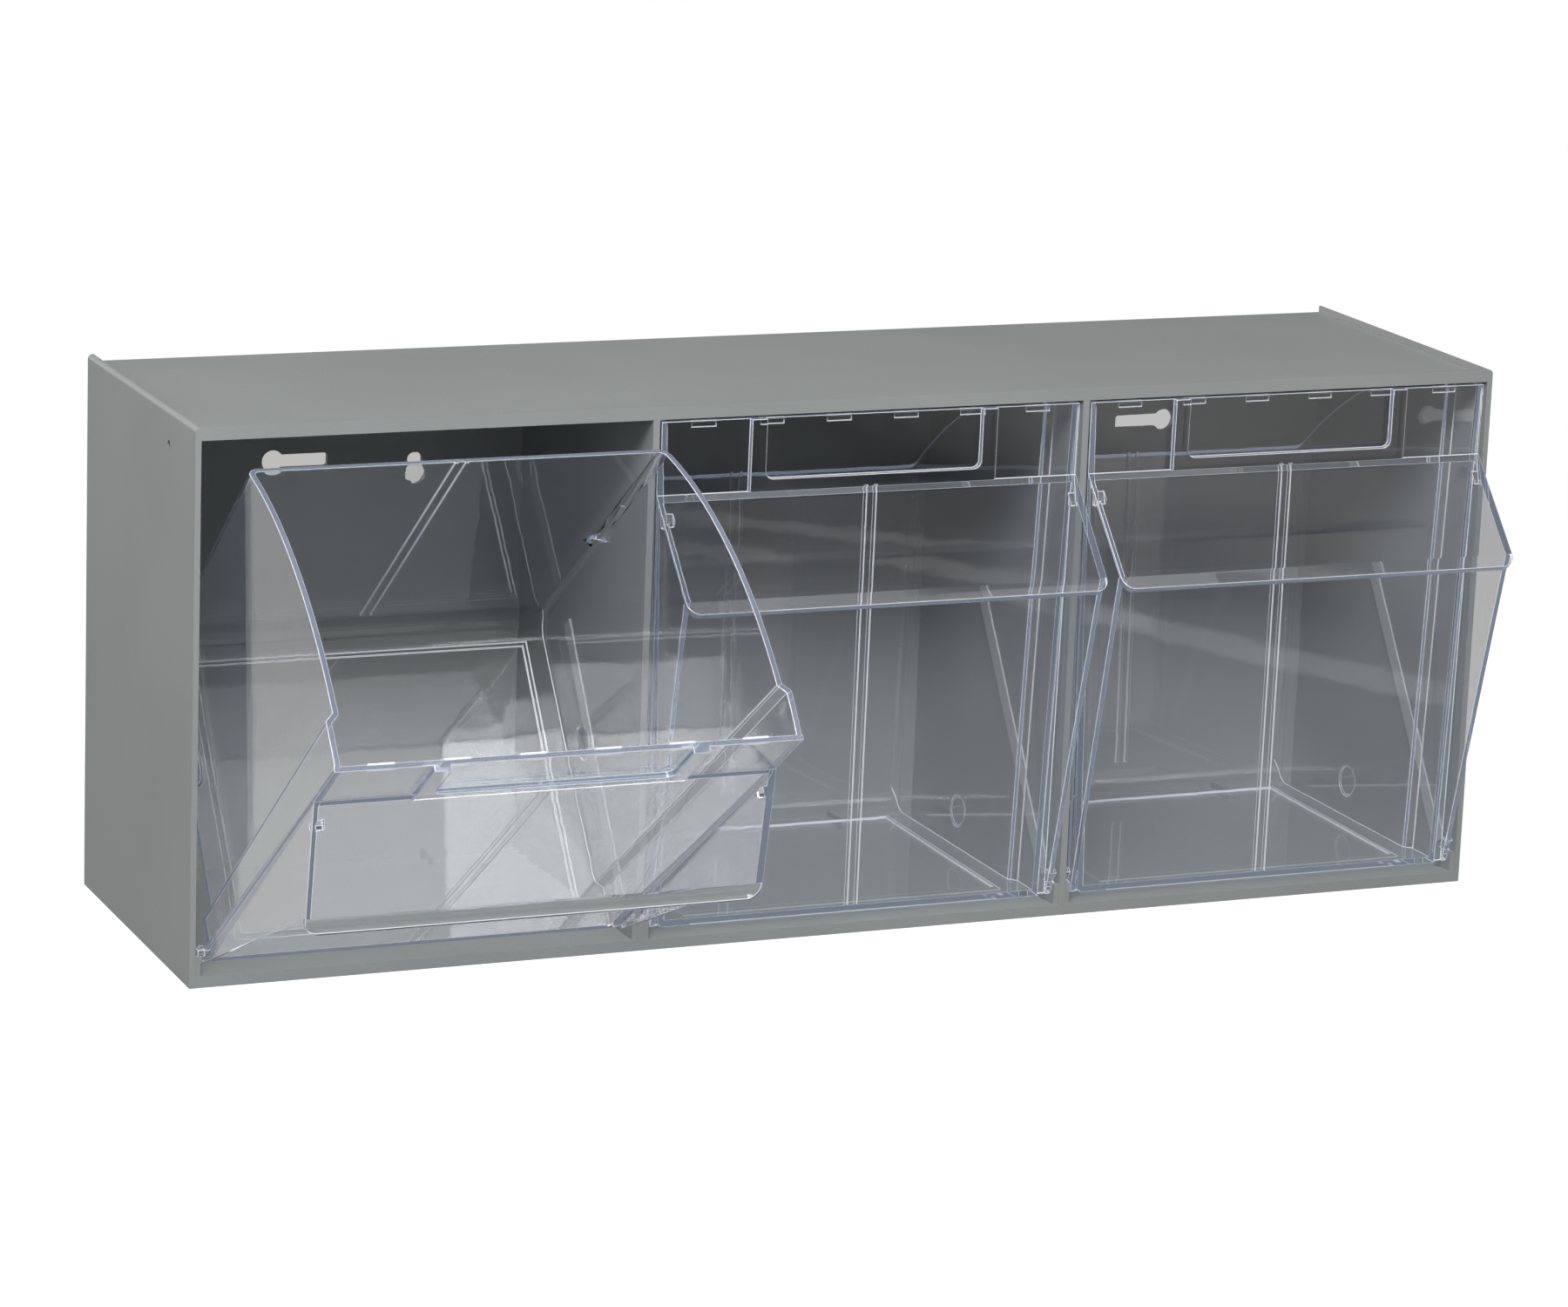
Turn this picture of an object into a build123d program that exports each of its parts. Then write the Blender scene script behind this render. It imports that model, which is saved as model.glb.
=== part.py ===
from build123d import *
from math import atan2, cos, degrees, radians, sin, sqrt, tan
import os

# Three-bin tip-out unit: a grey cabinet and three clear bins that tip forward on moulded pins.
# Millimetres. X runs along the width, Y from the front to the back, Z up.
# The origin is the centre of the cabinet's underside.
# The cabinet is one moulding; its walls are separate nodes of one body, so that each stays a simple plate.

# Cabinet shell
CABINET_WIDTH = 600.0
CABINET_DEPTH = 160.0
CABINET_HEIGHT = 237.0
BIN_COUNT = 3
SIDE_WALL = 2.5
DIVIDER_WALL = 3.0
BACK_WALL = 2.5
TOP_WALL = 2.5
FLOOR_WALL = 2.8
TOP_RECESS = 3.0
FRONT_RIM_WALL = 2.5
CORNER_RADIUS = 2.0
LEDGE_HEIGHT = 4.8
LEDGE_DEPTH = 9.0

# Ribs inside the cabinet
TIP_RIB_WIDTH = 7.5
TIP_RIB_HEIGHT = 0.8
TIP_RIB_START = (15.0, 16.0)
TIP_RIB_LENGTH = 131.0
TIP_RIB_ANGLE = 55.5
BACK_RIB_LEVEL = 109.0
BACK_RIB_WIDTH = 6.0
BACK_RIB_HEIGHT = 0.8
REST_RIB_SPACING = 110.0
REST_RIB_WALL = 3.0
REST_RIB_DEPTH = 18.0
REST_GAP = 0.3

# Holes in the cabinet: drops are from its top, outset and inset from the middle of an end compartment
KEYHOLE_HEAD_RADIUS = 5.0
KEYHOLE_DROP = 50.5
KEYHOLE_OUTSET = 17.667
KEYHOLE_SLOT_WIDTH = 6.0
KEYHOLE_SLOT_REACH = 25.0
KEYHOLE_SLOT_CORNER = 1.5
HANGER_HEAD_RADIUS = 4.75
HANGER_DROP = 57.2
HANGER_INSET = 47.833
HANGER_SLOT_WIDTH = 7.0
HANGER_SLOT_REACH = 7.9
HANGER_SLOT_CORNER = 3.0
SIDE_HOLE_RADIUS = 2.1
SIDE_HOLE_SETBACK = 37.7
SIDE_HOLE_DROP = 14.8

# Pivot: the pin axis behind the cabinet's front plane and above its base
PIVOT_SETBACK = 4.2
PIVOT_HEIGHT = 12.0
TIP_ANGLE = 53.8
PIN_RADIUS = 1.9
PIN_CLEARANCE = 0.05
PIN_END_GAP = 0.35
CRADLE_WIDTH = 2.3
CRADLE_FRONT_WALL = 1.7
CRADLE_REAR_WALL = 2.0
CRADLE_FRONT_RISE = 2.0
STOP_GAP = 0.3
STOP_LUG_REACH = 6.6
STOP_LUG_WALL = 2.8

# Bin shell, measured from the pin axis with the bin closed
BIN_WALL = 2.4
ARC_GAP = 1.2
SIDE_GAP = 1.15
BACK_GAP = 3.0
FACE_TOP_REACH = 3.4
FACE_BOTTOM_REACH = 1.0
FACE_BOTTOM_DROP = 2.5
FACE_TAPER = 2.2
SIDE_TOP_INSET = 0.4
SIDE_TAPER = 7.3
BACK_TAPER = 1.1
BACK_LEAN = 5.0
FLOOR_DROP = 3.4
STEP_INSET = 3.4
STEP_SETBACK = 18.0
STEP_ANGLE = 45.0
CORNER_ROUND = 5.0
FLOOR_ROUND = 14.0
FLOOR_PANEL_DROP = 0.8
FLOOR_PANEL_MARGIN = 11.0
FLOOR_PANEL_FRONT = 11.3
FLOOR_PANEL_BACK = 13.0

# Hood: the pull that runs out and down from the crease, with a wing at each end; its thicker
# lip runs on past the wings
CREASE_DROP = 31.6
HOOD_ANGLE = 46.3
HOOD_RUN = 58.4
LIP_RUN = 7.0
LIP_WALL = 3.4
LIP_CORNER_RADIUS = 6.0
WING_FOOT_REACH = 2.0
STUB_WIDTH = 3.0
STUB_DEPTH = 3.0
STUB_REACH = 5.5
STUB_TOP_DROP = 7.4
STUB_BOTTOM_DROP = 13.0

# Small features of the bin
LABEL_WIDTH = 114.0
LABEL_ARM = 7.0
LABEL_BAR = 5.5
LABEL_RAISE = 2.6
LABEL_CORNER = 3.5
CENTRE_RIB_WALL = 1.5
CENTRE_RIB_PITCH = 4.5
CENTRE_RIB_HEIGHT = 0.9
SNAP_RADIUS = 8.0
SNAP_HEIGHT = 1.2
SNAP_SETBACK = 77.8
SNAP_RISE = 15.0
SNAP_SLOPE = 30.0
BEAD_LENGTH = 11.0
BEAD_HEIGHT = 0.8
BEAD_WIDTH = 2.0
BEAD_COUNT = 6
BEAD_PITCH = 31.0

# Sizes that follow from the ones above
COMPARTMENT = (CABINET_WIDTH - 2 * SIDE_WALL - (BIN_COUNT - 1) * DIVIDER_WALL) / BIN_COUNT
BIN_PITCH = COMPARTMENT + DIVIDER_WALL
INSIDE_HALF = CABINET_WIDTH / 2 - SIDE_WALL
FRONT_Y = -CABINET_DEPTH / 2
BACK_Y = CABINET_DEPTH / 2
TOP_SURFACE = CABINET_HEIGHT - TOP_RECESS
CEILING = TOP_SURFACE - TOP_WALL
PIVOT_Y = FRONT_Y + PIVOT_SETBACK
ARC_RADIUS = CEILING - PIVOT_HEIGHT - ARC_GAP
FACE_HALF_TOP = COMPARTMENT / 2 - SIDE_GAP
BIN_BACK = CABINET_DEPTH - BACK_WALL - BACK_GAP - PIVOT_SETBACK
PIN_TIP = COMPARTMENT / 2 - PIN_END_GAP
BORE_RADIUS = PIN_RADIUS + PIN_CLEARANCE
MARGIN = 5.0
CLEAR = 1.0


def compartment_centres():
    """X of each compartment's middle, from left to right."""
    first = -(BIN_COUNT - 1) / 2 * BIN_PITCH
    return [first + index * BIN_PITCH for index in range(BIN_COUNT)]


def block(x_range, y_range, z_range):
    """A box between two limits on each axis."""
    size = [high - low for low, high in (x_range, y_range, z_range)]
    middle = [(low + high) / 2 for low, high in (x_range, y_range, z_range)]
    return Pos(*middle) * Box(*size)


def side_prism(outline, x_range):
    """A (Y, Z) outline extruded along X between two limits."""
    low, high = x_range
    plane = Plane(origin=(low, 0, 0), x_dir=(0, 1, 0), z_dir=(1, 0, 0))
    return extrude(plane * outline, high - low)


def polygon(points):
    """A flat face with straight edges through the points."""
    return make_face(Polyline(*points, close=True))


def disc_prism(radius, x_range, centre=(0, 0)):
    """A cylinder along X between two limits, about a (Y, Z) centre."""
    return side_prism(Pos(*centre) * Circle(radius), x_range)


def keyhole(head_radius, slot_width, slot_reach, corner, turn):
    """A round head with a narrower slot that leaves it; turn is the slot's direction in degrees."""
    bar = Pos(slot_reach / 2, 0) * Rectangle(slot_reach, slot_width)
    bar = fillet(bar.vertices().group_by(Axis.X)[-1], corner)
    return Rot(0, 0, turn) * (Circle(head_radius) + bar)


def back_cut(outline, x, z):
    """Cuts a keyhole outline through the back wall at x, z."""
    plane = Plane(origin=(x, BACK_Y + CLEAR, z), x_dir=(1, 0, 0), z_dir=(0, -1, 0))
    return extrude(plane * outline, BACK_WALL + 2 * CLEAR)


def keyholes():
    """Fixing holes in the back: a level pair in the end bins and an upright pair nearer the middle."""
    cuts = []
    end_compartment = compartment_centres()[-1]
    for side in (-1, 1):
        turn = 0 if side < 0 else 180
        level = keyhole(
            KEYHOLE_HEAD_RADIUS, KEYHOLE_SLOT_WIDTH, KEYHOLE_SLOT_REACH, KEYHOLE_SLOT_CORNER, turn
        )
        upright = keyhole(
            HANGER_HEAD_RADIUS, HANGER_SLOT_WIDTH, HANGER_SLOT_REACH, HANGER_SLOT_CORNER, 90
        )
        middle = end_compartment if side > 0 else -end_compartment
        level_x = middle + side * KEYHOLE_OUTSET
        upright_x = middle - side * HANGER_INSET
        cuts.append(back_cut(level, level_x, CABINET_HEIGHT - KEYHOLE_DROP))
        cuts.append(back_cut(upright, upright_x, CABINET_HEIGHT - HANGER_DROP))
    return cuts


def cradle(wall_x, side):
    """Open-topped bearing for one pin on a compartment wall; side is +1 on its right wall."""
    inner = wall_x - side * CRADLE_WIDTH
    across = (min(wall_x, inner), max(wall_x, inner))
    front = PIVOT_Y - BORE_RADIUS - CRADLE_FRONT_WALL
    back = PIVOT_Y + BORE_RADIUS + CRADLE_REAR_WALL
    post_top = PIVOT_HEIGHT + CRADLE_FRONT_RISE
    body = block(across, (front, back), (LEDGE_HEIGHT, PIVOT_HEIGHT))
    body += block(across, (front, PIVOT_Y), (LEDGE_HEIGHT, post_top))
    body -= disc_prism(BORE_RADIUS, across, (PIVOT_Y, PIVOT_HEIGHT))
    slot = (PIVOT_Y - BORE_RADIUS, PIVOT_Y + BORE_RADIUS)
    return body - block(across, slot, (PIVOT_HEIGHT, post_top + CLEAR))


def tip_rib(wall_x, side):
    """Low sloping rib on a compartment wall, at the slope that the floor of a tipped bin takes."""
    inner = wall_x - side * TIP_RIB_HEIGHT
    across = (min(wall_x, inner), max(wall_x, inner))
    start_y, start_z = TIP_RIB_START
    bar = Pos(TIP_RIB_LENGTH / 2, 0) * Rectangle(TIP_RIB_LENGTH, TIP_RIB_WIDTH)
    outline = Pos(FRONT_Y + start_y, start_z) * (Rot(0, 0, TIP_RIB_ANGLE) * bar)
    return side_prism(outline, across)


def rest_ribs(x):
    """Two upright ribs in the back corner, which hold up the floor of a closed bin."""
    top = PIVOT_HEIGHT - FLOOR_DROP - FLOOR_PANEL_DROP - REST_GAP
    back = BACK_Y - BACK_WALL
    ribs = []
    for offset in (-REST_RIB_SPACING / 2, REST_RIB_SPACING / 2):
        across = (x + offset - REST_RIB_WALL / 2, x + offset + REST_RIB_WALL / 2)
        ribs.append(block(across, (back - REST_RIB_DEPTH, back), (FLOOR_WALL, top)))
    return ribs


def cabinet_side(side):
    """One outer side, with its rounded top edge, joining hole, cradle and sloping rib."""
    outer = side * CABINET_WIDTH / 2
    inner = side * INSIDE_HALF
    across = (min(outer, inner), max(outer, inner))
    panel = block(across, (FRONT_Y, BACK_Y), (0, CABINET_HEIGHT))
    edge = panel.edges().filter_by(Axis.Y).sort_by_distance((outer, 0, CABINET_HEIGHT))[0]
    panel = fillet(edge, CORNER_RADIUS)
    panel += cradle(inner, side)
    panel += tip_rib(inner, side)
    centre = (FRONT_Y + SIDE_HOLE_SETBACK, CABINET_HEIGHT - SIDE_HOLE_DROP)
    return panel - disc_prism(SIDE_HOLE_RADIUS, across, centre)


def cabinet_divider(x):
    """The upright wall between two compartments, with a cradle and a sloping rib on each face."""
    across = (x - DIVIDER_WALL / 2, x + DIVIDER_WALL / 2)
    wall = block(across, (FRONT_Y, BACK_Y - BACK_WALL), (LEDGE_HEIGHT, CEILING))
    wall += block(across, (FRONT_Y + LEDGE_DEPTH, BACK_Y - BACK_WALL), (FLOOR_WALL, CEILING))
    for side in (-1, 1):
        wall_x = x - side * DIVIDER_WALL / 2
        wall += cradle(wall_x, side)
        wall += tip_rib(wall_x, side)
    return wall


def cabinet_top():
    """The top, sunk behind its front rim."""
    across = (-INSIDE_HALF, INSIDE_HALF)
    top = block(across, (FRONT_Y, BACK_Y), (CEILING, TOP_SURFACE))
    return top + block(across, (FRONT_Y, FRONT_Y + FRONT_RIM_WALL), (CEILING, CABINET_HEIGHT))


def cabinet_floor():
    """The floor, with its raised front ledge and the rest ribs of each compartment."""
    across = (-INSIDE_HALF, INSIDE_HALF)
    floor = block(across, (FRONT_Y, BACK_Y - BACK_WALL), (0, FLOOR_WALL))
    floor += block(across, (FRONT_Y, FRONT_Y + LEDGE_DEPTH), (0, LEDGE_HEIGHT))
    for x in compartment_centres():
        floor += rest_ribs(x)
    return floor


def cabinet_back():
    """The back, with its keyholes and the level rib of each compartment."""
    across = (-INSIDE_HALF, INSIDE_HALF)
    back = block(across, (BACK_Y - BACK_WALL, BACK_Y), (0, CEILING))
    inner = BACK_Y - BACK_WALL
    low = BACK_RIB_LEVEL - BACK_RIB_WIDTH / 2
    high = BACK_RIB_LEVEL + BACK_RIB_WIDTH / 2
    for x in compartment_centres():
        width = (x - COMPARTMENT / 2, x + COMPARTMENT / 2)
        back += block(width, (inner - BACK_RIB_HEIGHT, inner), (low, high))
    return back - keyholes()


# The bin is built closed, about its own pin axis: X along the pins, Y back, Z up.


def face_y(z):
    """Y of the front wall's outer face, which leans forward towards the top."""
    share = (z + FACE_BOTTOM_DROP) / (ARC_RADIUS + FACE_BOTTOM_DROP)
    return -FACE_BOTTOM_REACH - (FACE_TOP_REACH - FACE_BOTTOM_REACH) * share


def face_half(z):
    """Half the front wall's width, which narrows towards the floor."""
    share = (ARC_RADIUS - z) / (ARC_RADIUS + FACE_BOTTOM_DROP)
    return FACE_HALF_TOP - FACE_TAPER * share


def side_half(z):
    """Half the width of the bin's body just behind the front wall."""
    share = (ARC_RADIUS - z) / (ARC_RADIUS + FLOOR_DROP)
    return FACE_HALF_TOP - SIDE_TOP_INSET - (SIDE_TAPER - SIDE_TOP_INSET) * share


def back_y(z):
    """Y of the back wall's outer face, which leans back towards the top."""
    rear_top = sqrt(ARC_RADIUS**2 - BIN_BACK**2)
    share = (z + FLOOR_DROP) / (rear_top + FLOOR_DROP)
    return BIN_BACK - BACK_LEAN * (1 - share)


def body_plan(z, inset):
    """Level outline of the bin's body: full width in front, a slanted step, then a tapering box."""
    shift = inset * tan(radians(STEP_ANGLE / 2))
    front = face_y(z) + inset
    back = back_y(z) - inset
    half = side_half(z) - inset
    rear_half = half - STEP_INSET
    back_half = rear_half - BACK_TAPER
    step_start = STEP_SETBACK - shift
    step_end = step_start + STEP_INSET
    right = [
        (half, front),
        (half, step_start),
        (rear_half, step_end),
        (back_half, back),
    ]
    left = [(-x, y) for x, y in reversed(right)]
    outline = polygon(right + left)
    corners = outline.vertices().group_by(Axis.Y)[-1]
    return Pos(0, 0, z) * fillet(corners, CORNER_ROUND - inset)


def body_solid(inset):
    """The bin's body as a solid, inset by the wall for its inside; the arc is cut later."""
    low = -FLOOR_DROP - MARGIN
    high = ARC_RADIUS + MARGIN
    tapered = loft([body_plan(low, inset), body_plan(high, inset)], ruled=True)
    floor = -FLOOR_DROP + inset
    top = high + MARGIN
    rear = back_y(top) - inset
    foot = back_y(floor) - inset
    far = FACE_TOP_REACH + MARGIN
    section = polygon([(-far, floor), (foot, floor), (rear, top), (-far, top)])
    heel = section.vertices().sort_by_distance((foot, floor, 0))[0]
    section = fillet(heel, FLOOR_ROUND - inset)
    return tapered & side_prism(section, (-COMPARTMENT, COMPARTMENT))


def floor_panel(inset, level):
    """The sunken middle of the floor: its place at a level, drawn in by an inset."""
    half = side_half(-FLOOR_DROP) - STEP_INSET - BIN_WALL - FLOOR_PANEL_MARGIN + inset
    back = back_y(0) - BIN_WALL - FLOOR_PANEL_BACK + inset
    front = FLOOR_PANEL_FRONT - inset
    return block((-half, half), (front, back), (level - FLOOR_PANEL_DROP, level + CLEAR))


def front_slab(outline, inset):
    """A (Y, Z) outline given the front wall's tapering width, inset at both ends."""
    low = -FACE_BOTTOM_DROP
    high = ARC_RADIUS
    plan = polygon(
        [
            (-face_half(low) + inset, low),
            (face_half(low) - inset, low),
            (face_half(high) - inset, high),
            (-face_half(high) + inset, high),
        ]
    )
    reach = HOOD_RUN + MARGIN
    upright = Plane(origin=(0, reach, 0), x_dir=(1, 0, 0), z_dir=(0, -1, 0))
    prism = extrude(upright * plan, 2 * reach)
    return prism & side_prism(outline, (-COMPARTMENT, COMPARTMENT))


def along_hood(start, run):
    """The point a run away from start, forward and down along the hood."""
    return (
        start[0] - run * cos(radians(HOOD_ANGLE)),
        start[1] - run * sin(radians(HOOD_ANGLE)),
    )


def under(point, wall):
    """The point of the hood's underside below a point of its top."""
    return (
        point[0] + wall * sin(radians(HOOD_ANGLE)),
        point[1] - wall * cos(radians(HOOD_ANGLE)),
    )


def face_wall():
    """The leaning front wall between the two pins."""
    low = -FACE_BOTTOM_DROP
    high = ARC_RADIUS
    outline = polygon(
        [
            (face_y(low), low),
            (face_y(low) + BIN_WALL, low),
            (face_y(high) + BIN_WALL, high),
            (face_y(high), high),
        ]
    )
    return front_slab(outline, 0)


def hood():
    """The sloping pull with its thicker lip and the two wings that close its ends."""
    crease_z = ARC_RADIUS - CREASE_DROP
    crease = (face_y(crease_z), crease_z)
    lip = along_hood(crease, HOOD_RUN)
    lip_under = under(lip, LIP_WALL)
    wing_end = under(along_hood(crease, HOOD_RUN - LIP_RUN), BIN_WALL)
    foot_z = -FACE_BOTTOM_DROP
    foot = (-WING_FOOT_REACH, foot_z)
    heel = (face_y(foot_z), foot_z)
    shell = front_slab(polygon([crease, lip, lip_under, wing_end, foot, heel]), 0)
    throat_drop = BIN_WALL / cos(radians(HOOD_ANGLE))
    throat = (face_y(crease_z - throat_drop), crease_z - throat_drop)
    low_z = foot_z - MARGIN
    below_wing = (wing_end[0], low_z)
    below_heel = (heel[0], low_z)
    shell -= front_slab(polygon([throat, wing_end, below_wing, below_heel, heel]), BIN_WALL)
    corners = shell.edges().filter_by(
        lambda edge: edge.center().Y < (lip[0] + wing_end[0]) / 2
        and edge.length < LIP_WALL + CLEAR
        and abs(edge.center().X) > face_half(lip[1]) - CLEAR
    )
    return fillet(corners, LIP_CORNER_RADIUS)


def label_frame():
    """Raised frame, open at the top, for a label on the panel above the hood."""
    foot_z = ARC_RADIUS - CREASE_DROP
    rise = ARC_RADIUS - foot_z
    lean = degrees(atan2(face_y(foot_z) - face_y(ARC_RADIUS), rise))
    outer = Pos(0, rise / 2) * Rectangle(LABEL_WIDTH, rise)
    inner_width = LABEL_WIDTH - 2 * LABEL_ARM
    window = Pos(0, LABEL_BAR + rise / 2) * Rectangle(inner_width, rise)
    window = fillet(window.vertices().group_by(Axis.Y)[0], LABEL_CORNER)
    depth = LABEL_RAISE + BIN_WALL / 2
    upright = Plane(origin=(0, face_y(foot_z) + BIN_WALL / 2, foot_z), x_dir=(1, 0, 0), z_dir=(0, -1, 0))
    return extrude(upright.rotated((lean, 0, 0)) * (outer - window), depth)


def wall_ribs(outline):
    """A (Y, Z) outline as the pair of thin ribs down the middle of a wall."""
    ribs = []
    for side in (-1, 1):
        middle = side * CENTRE_RIB_PITCH / 2
        across = (middle - CENTRE_RIB_WALL / 2, middle + CENTRE_RIB_WALL / 2)
        ribs.append(side_prism(outline, across))
    return ribs


def centre_ribs():
    """Twin ribs up the inside of the front wall to the crease and up the whole back wall."""
    floor = BIN_WALL - FLOOR_DROP
    crease_z = ARC_RADIUS - CREASE_DROP
    face = BIN_WALL / 2
    proud = BIN_WALL + CENTRE_RIB_HEIGHT
    front = polygon(
        [
            (face_y(floor) + face, floor),
            (face_y(floor) + proud, floor),
            (face_y(crease_z) + proud, crease_z),
            (face_y(crease_z) + face, crease_z),
        ]
    )
    low = floor + FLOOR_ROUND
    high = ARC_RADIUS
    back = polygon(
        [
            (back_y(low) - face, low),
            (back_y(low) - proud, low),
            (back_y(high) - proud, high),
            (back_y(high) - face, high),
        ]
    )
    return wall_ribs(front) + wall_ribs(back)


def snap_bump(side):
    """Round low bump on the outside of a side wall, near the back of the floor."""
    step_end = STEP_SETBACK + STEP_INSET
    share = (SNAP_SETBACK - step_end) / (back_y(SNAP_RISE) - step_end)
    wall = side_half(SNAP_RISE) - STEP_INSET - BACK_TAPER * share
    plane = Plane(
        origin=(side * (wall - BIN_WALL / 2), SNAP_SETBACK, SNAP_RISE),
        x_dir=(0, 1, 0),
        z_dir=(side, 0, 0),
    )
    return extrude(plane * Circle(SNAP_RADIUS), BIN_WALL / 2 + SNAP_HEIGHT, taper=SNAP_SLOPE)


def hood_stub(side):
    """Small square stub under the hood, against a wing."""
    crease_z = ARC_RADIUS - CREASE_DROP
    low = crease_z - STUB_BOTTOM_DROP
    high = crease_z - STUB_TOP_DROP
    outer = face_half(low) - BIN_WALL / 2
    inner = face_half(low) - BIN_WALL - STUB_WIDTH
    across = (min(side * inner, side * outer), max(side * inner, side * outer))
    middle = face_y(crease_z) - STUB_REACH
    return block(across, (middle - STUB_DEPTH / 2, middle + STUB_DEPTH / 2), (low, high))


def pin_and_lug(side):
    """One pivot pin with the lug that comes down on the cradle's front post when the bin is open."""
    root = face_half(0) - BIN_WALL / 2
    across = (min(side * root, side * PIN_TIP), max(side * root, side * PIN_TIP))
    pin = disc_prism(PIN_RADIUS, across)
    seat = CRADLE_FRONT_RISE + STOP_GAP
    neck = 2 * PIN_RADIUS / 3
    heel = PIN_RADIUS / 4
    lug = block(across, (-STOP_LUG_REACH, heel), (seat, seat + STOP_LUG_WALL))
    lug += block(across, (-neck, heel), (0, seat + STOP_LUG_WALL))
    return pin + Rot(-TIP_ANGLE, 0, 0) * lug


def top_beads():
    """Short beads along the inside of the front wall's top edge."""
    level = ARC_RADIUS - BEAD_WIDTH
    inner = face_y(level) + BIN_WALL
    beads = []
    for index in range(BEAD_COUNT):
        x = (index - (BEAD_COUNT - 1) / 2) * BEAD_PITCH
        across = (x - BEAD_LENGTH / 2, x + BEAD_LENGTH / 2)
        deep = (inner - BIN_WALL / 2, inner + BEAD_HEIGHT)
        beads.append(block(across, deep, (level - BEAD_WIDTH / 2, level + BEAD_WIDTH / 2)))
    return beads


def bin_moulding():
    """One clear bin, closed, about its pin axis."""
    inside_floor = BIN_WALL - FLOOR_DROP
    body = body_solid(0) + floor_panel(BIN_WALL, -FLOOR_DROP)
    body -= body_solid(BIN_WALL)
    body -= floor_panel(0, inside_floor)
    body += face_wall()
    body += hood()
    body += label_frame()
    body += centre_ribs()
    body += top_beads()
    for side in (-1, 1):
        body += snap_bump(side)
        body += hood_stub(side)
        body += pin_and_lug(side)
    return body & disc_prism(ARC_RADIUS, (-COMPARTMENT, COMPARTMENT))


def export(name, solid):
    """Writes one node's STEP file."""
    os.makedirs("parts", exist_ok=True)
    export_step(solid, f"parts/{name}.step")


def main():
    """Writes the cabinet's walls and the three bins; the left bin is tipped out, the others are closed."""
    export("cabinet_side_left", cabinet_side(-1))
    export("cabinet_side_right", cabinet_side(1))
    export("cabinet_divider_left", cabinet_divider(-BIN_PITCH / 2))
    export("cabinet_divider_right", cabinet_divider(BIN_PITCH / 2))
    export("cabinet_top", cabinet_top())
    export("cabinet_floor", cabinet_floor())
    export("cabinet_back", cabinet_back())
    closed = bin_moulding()
    names = ("bin_left", "bin_middle", "bin_right")
    tips = (TIP_ANGLE, 0.0, 0.0)
    for name, x, tip in zip(names, compartment_centres(), tips):
        export(name, Pos(x, PIVOT_Y, PIVOT_HEIGHT) * Rot(tip, 0, 0) * closed)


main()
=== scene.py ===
import math

import bmesh
import bpy
from mathutils import Matrix, Vector


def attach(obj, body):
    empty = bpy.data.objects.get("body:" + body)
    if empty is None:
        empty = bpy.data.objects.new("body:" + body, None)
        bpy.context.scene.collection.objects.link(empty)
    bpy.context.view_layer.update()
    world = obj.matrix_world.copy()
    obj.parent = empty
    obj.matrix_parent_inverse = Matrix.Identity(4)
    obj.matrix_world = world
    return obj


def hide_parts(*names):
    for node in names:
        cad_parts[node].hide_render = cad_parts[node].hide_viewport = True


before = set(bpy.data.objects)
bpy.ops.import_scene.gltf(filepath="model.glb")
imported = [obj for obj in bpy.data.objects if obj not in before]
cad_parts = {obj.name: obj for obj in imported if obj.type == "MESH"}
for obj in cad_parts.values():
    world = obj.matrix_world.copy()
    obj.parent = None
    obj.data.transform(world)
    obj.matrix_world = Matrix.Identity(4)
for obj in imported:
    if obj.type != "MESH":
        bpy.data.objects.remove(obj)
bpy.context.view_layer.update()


# Camera: the photograph's place and lens, found from the unit's straight edges

CAMERA_PLACE = (-0.94208, -2.19375, 0.69272)
CAMERA_RIGHT = Vector((0.92233792, -0.38461128, 0.03697194))
CAMERA_DOWN = Vector((-0.05885143, -0.23441018, -0.97035477))
CAMERA_FORWARD = Vector((0.38187598, 0.89281915, -0.23884032))
FOCAL_PIXELS = 6368.99
FRAME_PIXELS = 1800
SENSOR_WIDTH = 36.0


def make_camera():
    """The camera at the photograph's angle, with no shift."""
    data = bpy.data.cameras.new("photo_camera")
    data.sensor_fit = "HORIZONTAL"
    data.sensor_width = SENSOR_WIDTH
    data.lens = FOCAL_PIXELS * SENSOR_WIDTH / FRAME_PIXELS
    data.clip_start = 0.01
    data.clip_end = 50.0
    camera = bpy.data.objects.new("photo_camera", data)
    turn = Matrix((CAMERA_RIGHT, -CAMERA_DOWN, -CAMERA_FORWARD)).transposed()
    camera.matrix_world = Matrix.Translation(CAMERA_PLACE) @ turn.to_4x4()
    bpy.context.scene.collection.objects.link(camera)
    bpy.context.scene.camera = camera


# Shader maths: expressions on sockets add their own nodes


class Value:
    """A number that varies over a surface: a node's output socket with the usual operators."""

    def __init__(self, maker, socket):
        self.maker = maker
        self.socket = socket

    def _with(self, operation, *others):
        return self.maker.node("ShaderNodeMath", {"operation": operation}, [self, *others])

    def __add__(self, other):
        return self._with("ADD", other)

    __radd__ = __add__

    def __mul__(self, other):
        return self._with("MULTIPLY", other)

    __rmul__ = __mul__

    def __sub__(self, other):
        return self._with("SUBTRACT", other)

    def __rsub__(self, other):
        return self.maker.node("ShaderNodeMath", {"operation": "SUBTRACT"}, [other, self])

    def __pow__(self, other):
        return self._with("POWER", other)

    def __gt__(self, other):
        return self._with("GREATER_THAN", other)

    def __lt__(self, other):
        return self._with("LESS_THAN", other)

    def __abs__(self):
        return self._with("ABSOLUTE")

    def bigger(self, other):
        return self._with("MAXIMUM", other)


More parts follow.
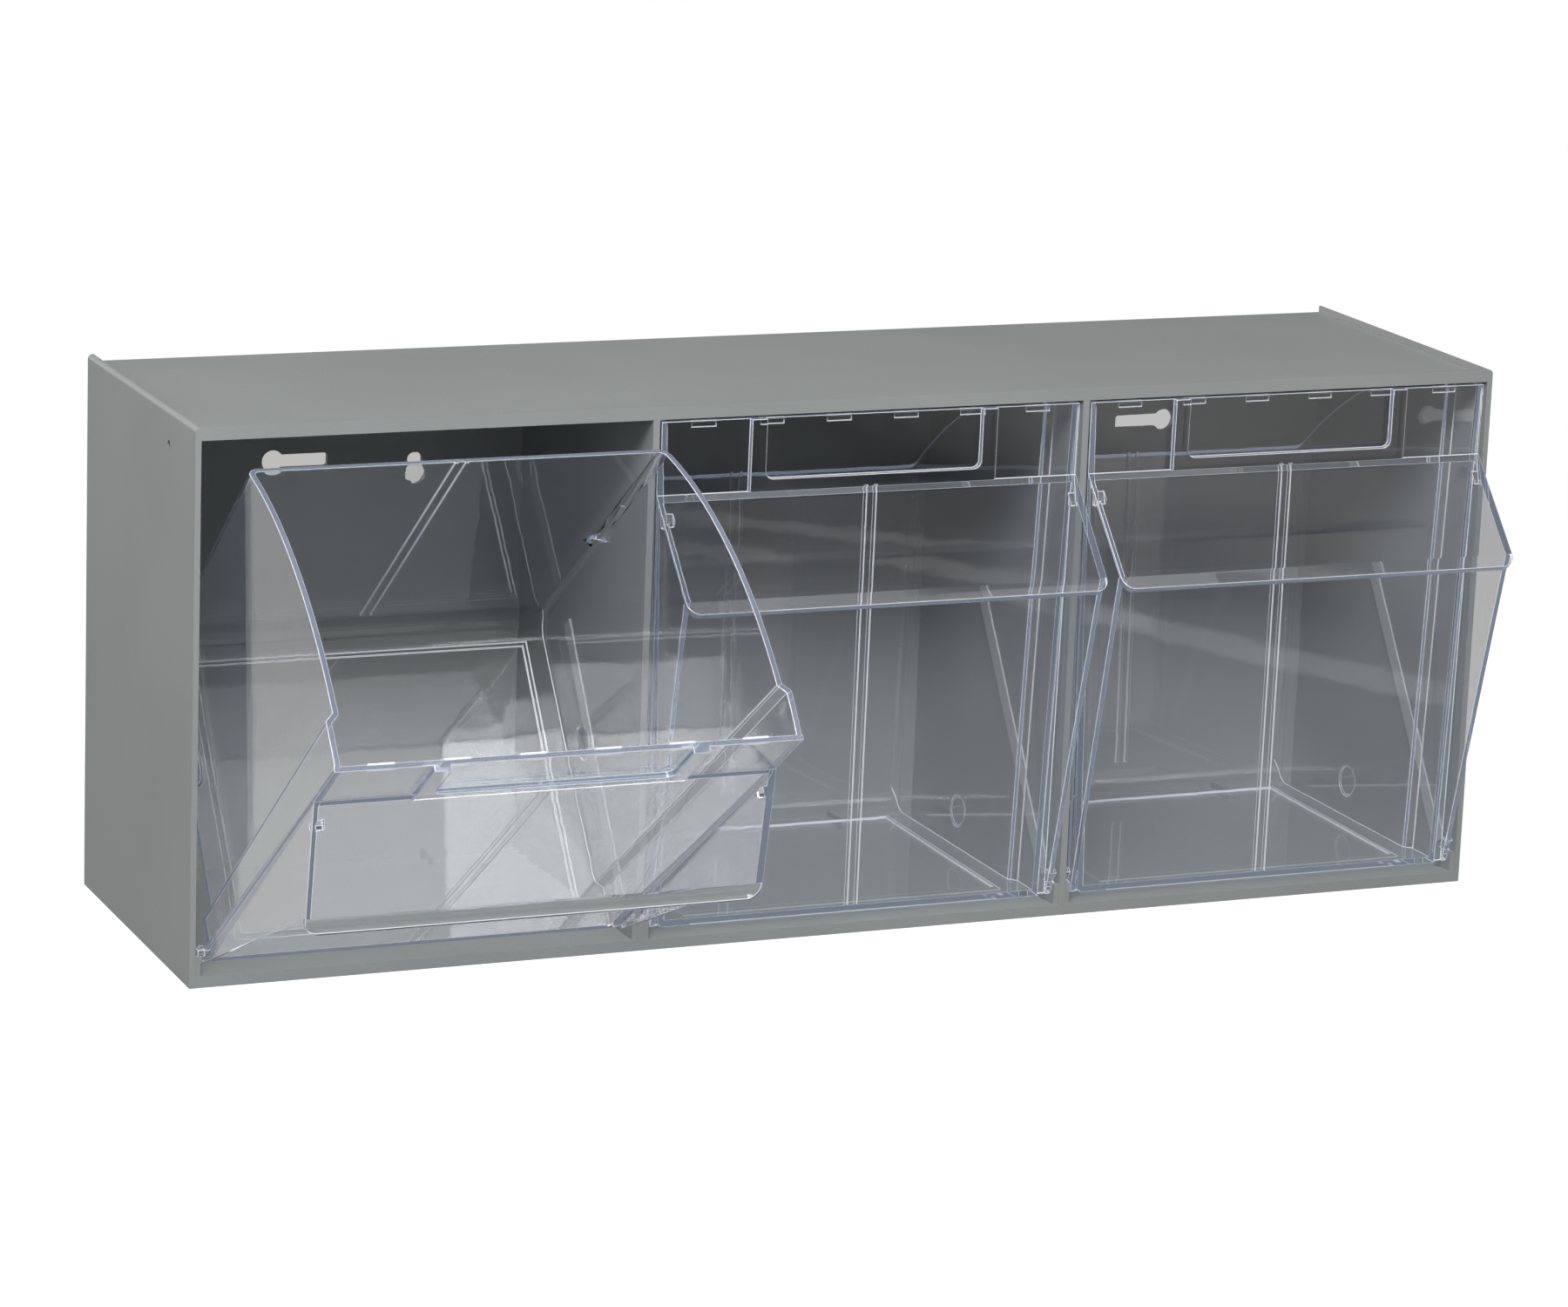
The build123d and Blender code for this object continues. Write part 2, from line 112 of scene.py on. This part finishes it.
class Network:
    """The nodes of one material, lamp or sky, which end in its output."""

    def __init__(self, tree, output):
        self.tree = tree
        self.tree.nodes.clear()
        self.output = self.tree.nodes.new(output)

    def node(self, kind, settings=None, inputs=None, output=0):
        """A node with its settings first, then the values or links of its sockets."""
        made = self.tree.nodes.new(kind)
        for key, value in (settings or {}).items():
            setattr(made, key, value)
        pairs = inputs.items() if isinstance(inputs, dict) else enumerate(inputs or [])
        for key, value in pairs:
            if isinstance(value, Value):
                self.tree.links.new(value.socket, made.inputs[key])
            else:
                made.inputs[key].default_value = value
        return Value(self, made.outputs[output])

    def outputs(self, kind, names, inputs=None):
        """Several outputs of one node, by their names or numbers."""
        first = self.node(kind, inputs=inputs)
        return [Value(self, first.socket.node.outputs[name]) for name in names]

    def rays(self, *names):
        """What is known of a ray of light, by the names on the Light Path node."""
        return self.outputs("ShaderNodeLightPath", names)

    def split(self, vector):
        """The X, Y and Z values of a vector."""
        return self.outputs("ShaderNodeSeparateXYZ", range(3), [vector])

    def ramp(self, value, low, high, start=0.0, end=1.0, style="LINEAR"):
        """value from low to high becomes start to end, and stays there beyond."""
        settings = {"interpolation_type": style, "clamp": True}
        sockets = {"Value": value, "From Min": low, "From Max": high, "To Min": start, "To Max": end}
        return self.node("ShaderNodeMapRange", settings, sockets)

    def glow(self, colour, strength):
        """Light of a colour, where a strength of 1 is as bright as white."""
        return self.node("ShaderNodeEmission", inputs={"Color": colour, "Strength": strength})

    def mix(self, share, first, second):
        """One shader going over to another."""
        return self.node("ShaderNodeMixShader", inputs=[share, first, second])

    def end_in(self, shader):
        """Links the last shader to the output."""
        self.tree.links.new(shader.socket, self.output.inputs["Surface"])


class Finish(Network):
    """One procedural material."""

    def __init__(self, name):
        self.material = bpy.data.materials.new(name)
        self.material.use_nodes = True
        super().__init__(self.material.node_tree, "ShaderNodeOutputMaterial")

    def place(self):
        """Where a point lies in the shared frame, in metres."""
        return self.node("ShaderNodeTexCoord", output="Object")

    def noise(self, place, scale, detail, roughness):
        """Soft noise from 0 to 1, so many lumps to the metre."""
        sockets = {"Vector": place, "Scale": scale, "Detail": detail, "Roughness": roughness}
        return self.node("ShaderNodeTexNoise", inputs=sockets)

    def blend(self, share, first, second):
        """One colour going over to another: Mix takes colours at 6 and 7 and gives one at 2."""
        return self.node("ShaderNodeMix", {"data_type": "RGBA"}, {0: share, 6: first, 7: second}, output=2)

    def bump(self, height, distance, strength):
        """A normal from a height of 0 to 1, where 1 stands for a distance in metres."""
        sockets = {"Height": height, "Distance": distance, "Strength": strength}
        return self.node("ShaderNodeBump", inputs=sockets)

    def surface(self, shader):
        """The finished material, which ends in a shader."""
        self.end_in(shader)
        return self.material


# Studio light: tones as light values, where 1 is white

WHITE = (1, 1, 1, 1)
STUDIO_COLOUR = (1, 1, 0.97, 1)
STUDIO_GREY = 0.51
WORLD_LIGHT = 0.1

# Lamps: name, place and target in metres, width and height in metres, power in watts

LAMPS = (
    ("key", (-0.65, -1.6, 1.75), (0, -0.05, 0.1), (1.4, 0.7), 60.0),
    ("softbox", (0.65, -1.4, 1.75), (0.65, -1.4, 0.0), (1.3, 0.9), 6.0),
    ("left_fill", (-2.2, -0.3, 0.6), (-0.3, 0, 0.1), (1.2, 1.2), 14.5),
    ("back_fill", (-0.45, 2.0, 0.35), (0, 0.08, 0.1), (1.0, 0.5), 9.0),
    ("top", (0.0, 0.3, 2.2), (0, 0, 0.2), (1.6, 1.2), 3.0),
)

# The softbox fades in Y: dark at the first place, with its full light at the second

FADE_BACK = -0.98
FADE_FRONT = -1.18

# Floor: it lies just under the unit, and its soft shadow goes over to plain white further out

FLOOR_HALF = 6.0
FLOOR_LEVEL = -0.0002
SHADOW_NEAR = 0.5
SHADOW_FAR = 1.1
SHADOW_CATCH = (0.4, 0.4, 0.4, 1)
SHADOW_GLOW = 0.8
FLOOR_BOUNCE = (0.18, 0.18, 0.18, 1)

# The floor as the plastic mirrors it, a painted reflection: dark in front, light at the right, with one
# slanting light band

REFLECTED_COLOUR = (1, 1, 0.98, 1)
REFLECTED_NEAR = 0.42
REFLECTED_FAR = 0.72
REFLECTED_DARK = 0.06
SIDE_LIGHT = 0.7
SIDE_NEAR = 0.38
SIDE_FAR = 0.56
BAND_PLACE = (0.4, -0.46)
BAND_NORMAL = (0.87, -0.49)
BAND_HALF = 0.014
BAND_BLUR = 0.01
BAND_LIGHT = 0.5

# Card: just behind the back, as wide and high as the keyholes need

CARD_HALF = 0.27
CARD_LOW = 0.15
CARD_HIGH = 0.22
CARD_Y = 0.0815

# The cabinet's plastic: its tones, and the place of the lighter sloping strips in (Y, Z) and metres

CABINET_DARK = (0.285, 0.3, 0.296, 1)
CABINET_LIGHT = (0.31, 0.326, 0.322, 1)
CABINET_GRAIN = (0.25, 0.265, 0.262, 1)
# The tone of the lighter sloping strip on each compartment's wall
CABINET_STRIP_TONE = (0.5, 0.52, 0.515, 1)
RIB_START = (-0.065, 0.016)
RIB_ANGLE = math.radians(55.5)
RIB_ALONG = (math.cos(RIB_ANGLE), math.sin(RIB_ANGLE))
RIB_LENGTH = 0.131
RIB_HALF = 0.00375
RIB_BLUR = 0.0002

# The strips' lighter tone ends in X within the outer walls' thickness, so that it stays off the outside

RIB_REACH = 0.2985

# The clear plastic: its tints, what lamp light keeps through it, and the colour of the painted glow that
# stands for light caught inside

CLEAR_TINT = (0.975, 0.983, 1.0, 1)
CLEAR_SHADOW = (0.965, 0.97, 0.98, 1)
# Milky edge and wall-end tints: painted light for light that ran along the plastic and for highlights on
# the rounded edges
EDGE_TINT = (0.95, 0.965, 1.0, 1)
WALL_END_TINT = (0.7, 0.77, 0.91, 1)
EDGE_SHADOW = (0.9, 0.92, 0.95, 1)
EDGE_ROUGH = (0.1, 0.2)
EDGE_CLEARNESS = 0.3
WALL_END_CLEARNESS = 0.88
INNER_GLOW = (0.16, 0.188, 0.245, 1)
CAUGHT_FROM = 1.4
CAUGHT_WHOLLY = 3.4

# The bins: edge rounding and wall in metres, angles in degrees, and which finish a face takes

BIN_NODES = ("bin_left", "bin_middle", "bin_right")
WALL = 0.0024
BEVEL = 0.00025
WELD = 0.000002
FLAT_ANGLE = 0.06
PATCH_ANGLE = 24
BEVEL_ANGLE = 28
SHADING_ANGLE = 18
FACE, EDGE, WALL_END = range(3)

# Widths and borders that tell narrow steps and wall ends from faces, in wall thicknesses

STEP_WIDTH = 0.45
STEP_BORDER = 8
WALL_END_WIDTHS = (0.75, 1.45)
WALL_END_BORDER = 16


def lighter_sloping_strip(finish, place):
    """1 on the lighter sloping strips inside the compartments."""
    x, y, z = finish.split(place)
    along = (y - RIB_START[0]) * RIB_ALONG[0] + (z - RIB_START[1]) * RIB_ALONG[1]
    across = (z - RIB_START[1]) * RIB_ALONG[0] - (y - RIB_START[0]) * RIB_ALONG[1]
    on_rib = finish.ramp(abs(across), RIB_HALF - RIB_BLUR, RIB_HALF + RIB_BLUR, start=1.0, end=0.0)
    inside = (abs(x) < RIB_REACH) * (along > 0.0) * (along < RIB_LENGTH)
    return on_rib * inside


def grey_moulding():
    """Mid grey moulded plastic with a fine spark-eroded texture."""
    finish = Finish("grey_moulding")
    place = finish.place()
    grain = finish.noise(place, scale=1600.0, detail=3.0, roughness=0.6)
    cloud = finish.noise(place, scale=14.0, detail=3.0, roughness=0.5)
    tone = finish.blend(finish.ramp(cloud, low=0.3, high=0.7), CABINET_DARK, CABINET_LIGHT)
    specks = finish.ramp(grain, low=0.25, high=0.75, end=0.35)
    tone = finish.blend(specks, tone, CABINET_GRAIN)
    # A lighter sloping strip on each compartment's wall
    tone = finish.blend(lighter_sloping_strip(finish, place), tone, CABINET_STRIP_TONE)
    rough = finish.ramp(grain, low=0.2, high=0.8, start=0.48, end=0.62)
    shader = finish.node(
        "ShaderNodeBsdfPrincipled",
        inputs={
            "Base Color": tone,
            "Roughness": rough,
            "IOR": 1.5,
            "Normal": finish.bump(grain, distance=0.00006, strength=0.5),
        },
    )
    return finish.surface(shader)


def lamp_through(finish, plastic, tint):
    """Lamp light goes straight through; a path caught inside the plastic ends in a painted bluish glow."""
    through = finish.node("ShaderNodeBsdfTransparent", inputs={"Color": tint})
    shadow, diffuse, mirrored = finish.rays("Is Shadow Ray", "Is Diffuse Ray", "Glossy Depth")
    caught = finish.ramp(mirrored, CAUGHT_FROM, CAUGHT_WHOLLY)
    # Painted glow where a ray has been mirrored inside the plastic again and again
    plastic = finish.mix(caught, plastic, finish.glow(INNER_GLOW, 1.0))
    return finish.mix(shadow.bigger(diffuse), plastic, through)


def clear_moulding():
    """The polished faces of clear styrene, a little wavy and hazy."""
    finish = Finish("clear_moulding")
    place = finish.place()
    ripple = finish.noise(place, scale=55.0, detail=2.0, roughness=0.4)
    haze = finish.noise(place, scale=30.0, detail=3.0, roughness=0.6)
    plastic = finish.node(
        "ShaderNodeBsdfPrincipled",
        inputs={
            "Base Color": CLEAR_TINT,
            "Roughness": finish.ramp(haze, low=0.35, high=0.75, end=0.03),
            "IOR": 1.55,
            "Transmission Weight": 1.0,
            "Normal": finish.bump(ripple, distance=0.0004, strength=0.12),
        },
    )
    return finish.surface(lamp_through(finish, plastic, CLEAR_SHADOW))


def clear_edge(name, tint, clearness):
    """A wall's thin end or rounded edge, painted milky and bluish for light that ran along the plastic and
    comes out there, and for highlights on the rounding.
    """
    finish = Finish(name)
    drag = finish.noise(finish.place(), scale=500.0, detail=2.0, roughness=0.5)
    plastic = finish.node(
        "ShaderNodeBsdfPrincipled",
        inputs={
            "Base Color": tint,
            "Roughness": finish.ramp(drag, low=0.3, high=0.7, start=EDGE_ROUGH[0], end=EDGE_ROUGH[1]),
            "IOR": 1.5,
            "Transmission Weight": clearness,
        },
    )
    return finish.surface(lamp_through(finish, plastic, EDGE_SHADOW))


def floor_seen(finish, x, y):
    """The floor to the camera: white, with the unit's soft shadow near it."""
    reach = (x * x + y * y) ** 0.5
    near = finish.ramp(reach, SHADOW_NEAR, SHADOW_FAR, start=1.0, end=0.0)
    catcher = finish.node("ShaderNodeBsdfDiffuse", inputs={"Color": SHADOW_CATCH})
    shaded = finish.node("ShaderNodeAddShader", inputs=[catcher, finish.glow(WHITE, SHADOW_GLOW)])
    return finish.mix(near, finish.glow(WHITE, 1.0), shaded)


def floor_mirrored(finish, x, y):
    """The floor as the plastic mirrors it: painted light and shade that only reflections show."""
    light = finish.ramp(y, -REFLECTED_FAR, -REFLECTED_NEAR, REFLECTED_DARK, STUDIO_GREY)
    light = light.bigger(finish.ramp(x, SIDE_NEAR, SIDE_FAR, end=SIDE_LIGHT))
    off_band = abs((x - BAND_PLACE[0]) * BAND_NORMAL[0] + (y - BAND_PLACE[1]) * BAND_NORMAL[1])
    light = light + finish.ramp(off_band, BAND_HALF, BAND_HALF + BAND_BLUR, start=BAND_LIGHT, end=0.0)
    return finish.glow(REFLECTED_COLOUR, light)


def floor_finish():
    """White to the camera, studio grey through the plastic, and painted light and dark mirrored in it."""
    finish = Finish("white_floor")
    x, y = finish.split(finish.place())[:2]
    camera, through, glossy, depth = finish.rays(
        "Is Camera Ray", "Is Transmission Ray", "Is Glossy Ray", "Glossy Depth"
    )
    bounce = finish.node("ShaderNodeBsdfDiffuse", inputs={"Color": FLOOR_BOUNCE})
    grey = finish.glow(STUDIO_COLOUR, STUDIO_GREY)
    mirrored = depth > 0.5
    plastic = finish.mix(mirrored, grey, floor_mirrored(finish, x, y))
    lit = finish.mix(glossy.bigger(through), bounce, plastic)
    return finish.surface(finish.mix(camera, lit, floor_seen(finish, x, y)))


def card_finish():
    """Studio grey from the front, to the camera and through the plastic; nothing otherwise."""
    finish = Finish("grey_card")
    nothing = finish.node("ShaderNodeBsdfTransparent")
    camera, through = finish.rays("Is Camera Ray", "Is Transmission Ray")
    behind = finish.node("ShaderNodeNewGeometry", output="Backfacing")
    shows = camera.bigger(through) * (1.0 - behind)
    return finish.surface(finish.mix(shows, nothing, finish.glow(STUDIO_COLOUR, STUDIO_GREY)))


def area_lamp(name, place, target, size, power):
    """A soft rectangular lamp that points at a target."""
    data = bpy.data.lights.new(name, "AREA")
    data.shape = "RECTANGLE"
    data.size, data.size_y = size
    data.energy = power
    lamp = bpy.data.objects.new(name, data)
    lamp.location = place
    lamp.rotation_euler = (Vector(target) - Vector(place)).to_track_quat("-Z", "Y").to_euler()
    bpy.context.scene.collection.objects.link(lamp)


def fade_lamp(data):
    """A lamp's light fades out over its back edge, so that it is mirrored with a softer line there."""
    data.use_nodes = True
    lamp = Network(data.node_tree, "ShaderNodeOutputLight")
    y = lamp.split(lamp.node("ShaderNodeNewGeometry", output="Position"))[1]
    lamp.end_in(lamp.glow(WHITE, lamp.ramp(y, FADE_BACK, FADE_FRONT, style="SMOOTHSTEP")))


def make_lamps():
    """Every lamp, and the softbox's faded edge."""
    for name, place, target, size, power in LAMPS:
        area_lamp(name, place, target, size, power)
    fade_lamp(bpy.data.lights["softbox"])


def make_world():
    """White to the camera, the studio's grey through the plastic, a plain soft light otherwise."""
    world = bpy.data.worlds.new("studio")
    world.use_nodes = True
    sky = Network(world.node_tree, "ShaderNodeOutputWorld")
    camera, through = sky.rays("Is Camera Ray", "Is Transmission Ray")
    plain, grey, white = [
        sky.node("ShaderNodeBackground", inputs={"Color": WHITE, "Strength": light})
        for light in (WORLD_LIGHT, STUDIO_GREY, 1.0)
    ]
    sky.end_in(sky.mix(camera, sky.mix(through, plain, grey), white))
    bpy.context.scene.world = world


def stage_sheet(name, corners, material):
    """One flat sheet of the studio, which is no part of the unit."""
    mesh = bpy.data.meshes.new(name)
    mesh.from_pydata(corners, [], [(0, 1, 2, 3)])
    mesh.materials.append(material)
    sheet = bpy.data.objects.new(name, mesh)
    bpy.context.scene.collection.objects.link(sheet)


def make_stage():
    """A wide floor just under the unit, and a card behind the keyholes that shows from the front only."""
    around = ((-1, -1), (1, -1), (1, 1), (-1, 1))
    floor = [(x * FLOOR_HALF, y * FLOOR_HALF, FLOOR_LEVEL) for x, y in around]
    stage_sheet("floor", floor, floor_finish())
    heights = {-1: CARD_LOW, 1: CARD_HIGH}
    card = [(x * CARD_HALF, CARD_Y, heights[z]) for x, z in around]
    stage_sheet("card", card, card_finish())


def joined_copy(node):
    """A closed copy of a node's mesh with whole flat faces."""
    shape = bmesh.new()
    shape.from_mesh(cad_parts[node].data)
    bmesh.ops.remove_doubles(shape, verts=shape.verts, dist=WELD)
    flat = math.radians(FLAT_ANGLE)
    bmesh.ops.dissolve_limit(shape, angle_limit=flat, verts=shape.verts, edges=shape.edges)
    return shape


def is_sharp(edge, degrees):
    """Whether two faces meet at an edge by more than an angle."""
    return len(edge.link_faces) == 2 and edge.calc_face_angle(0) > math.radians(degrees)


def smooth_patches(shape):
    """Groups of faces that meet without a sharp edge."""
    left = set(shape.faces)
    patches = []
    while left:
        start = left.pop()
        patch = [start]
        front = [start]
        while front:
            face = front.pop()
            for edge in face.edges:
                if is_sharp(edge, PATCH_ANGLE):
                    continue
                for other in edge.link_faces:
                    if other in left:
                        left.remove(other)
                        patch.append(other)
                        front.append(other)
        patches.append(patch)
    return patches


def patch_finish(patch):
    """Which finish a group of faces has, going by its mean width and the length of its border."""
    area = sum(face.calc_area() for face in patch)
    edges = [edge for face in patch for edge in face.edges if is_sharp(edge, PATCH_ANGLE)]
    border = sum(edge.calc_length() for edge in edges)
    width = 2 * area / max(border, WALL)
    if width < STEP_WIDTH * WALL and border > STEP_BORDER * WALL:
        return EDGE
    low, high = WALL_END_WIDTHS
    if low * WALL < width < high * WALL and border > WALL_END_BORDER * WALL:
        return WALL_END
    return FACE


def round_edges(shape):
    """Rounds a bin's sharp edges, and gives the rounding the finish of edges."""
    bmesh.ops.bevel(
        shape,
        geom=[edge for edge in shape.edges if is_sharp(edge, BEVEL_ANGLE)],
        offset=BEVEL,
        offset_type="OFFSET",
        segments=2,
        profile=0.5,
        affect="EDGES",
        clamp_overlap=False,
        material=EDGE,
    )


def keep_walls_flat(piece):
    """Shades the rounding smooth and the walls flat, and leaves a plain mesh."""
    normals = piece.modifiers.new("flat_walls", "WEIGHTED_NORMAL")
    normals.mode = "FACE_AREA"
    normals.weight = 100
    normals.keep_sharp = True
    shaded = piece.evaluated_get(bpy.context.evaluated_depsgraph_get())
    whole = bpy.data.meshes.new_from_object(shaded)
    piece.modifiers.clear()
    piece.data = whole


def clear_bin(node, finishes):
    """One bin with rounded edges; its wall ends and edges have finishes of their own."""
    shape = joined_copy(node)
    for patch in smooth_patches(shape):
        index = patch_finish(patch)
        for face in patch:
            face.material_index = index
            face.smooth = True
    round_edges(shape)
    mesh = bpy.data.meshes.new("clear_" + node)
    shape.to_mesh(mesh)
    shape.free()
    mesh.set_sharp_from_angle(angle=math.radians(SHADING_ANGLE))
    for finish in finishes:
        mesh.materials.append(finish)
    piece = bpy.data.objects.new("clear_" + node, mesh)
    bpy.context.scene.collection.objects.link(piece)
    keep_walls_flat(piece)
    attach(piece, node)
    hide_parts(node)


def dress(node, material):
    """Gives one node of the construction its finish."""
    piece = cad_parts[node]
    piece.data.materials.clear()
    piece.data.materials.append(material)


def main():
    make_camera()
    make_world()
    make_stage()
    make_lamps()
    grey = grey_moulding()
    finishes = [
        clear_moulding(),
        clear_edge("clear_edge", EDGE_TINT, EDGE_CLEARNESS),
        clear_edge("clear_wall_end", WALL_END_TINT, WALL_END_CLEARNESS),
    ]
    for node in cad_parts:
        if node in BIN_NODES:
            clear_bin(node, finishes)
        else:
            dress(node, grey)
    bpy.context.scene.view_settings.view_transform = "Standard"


main()
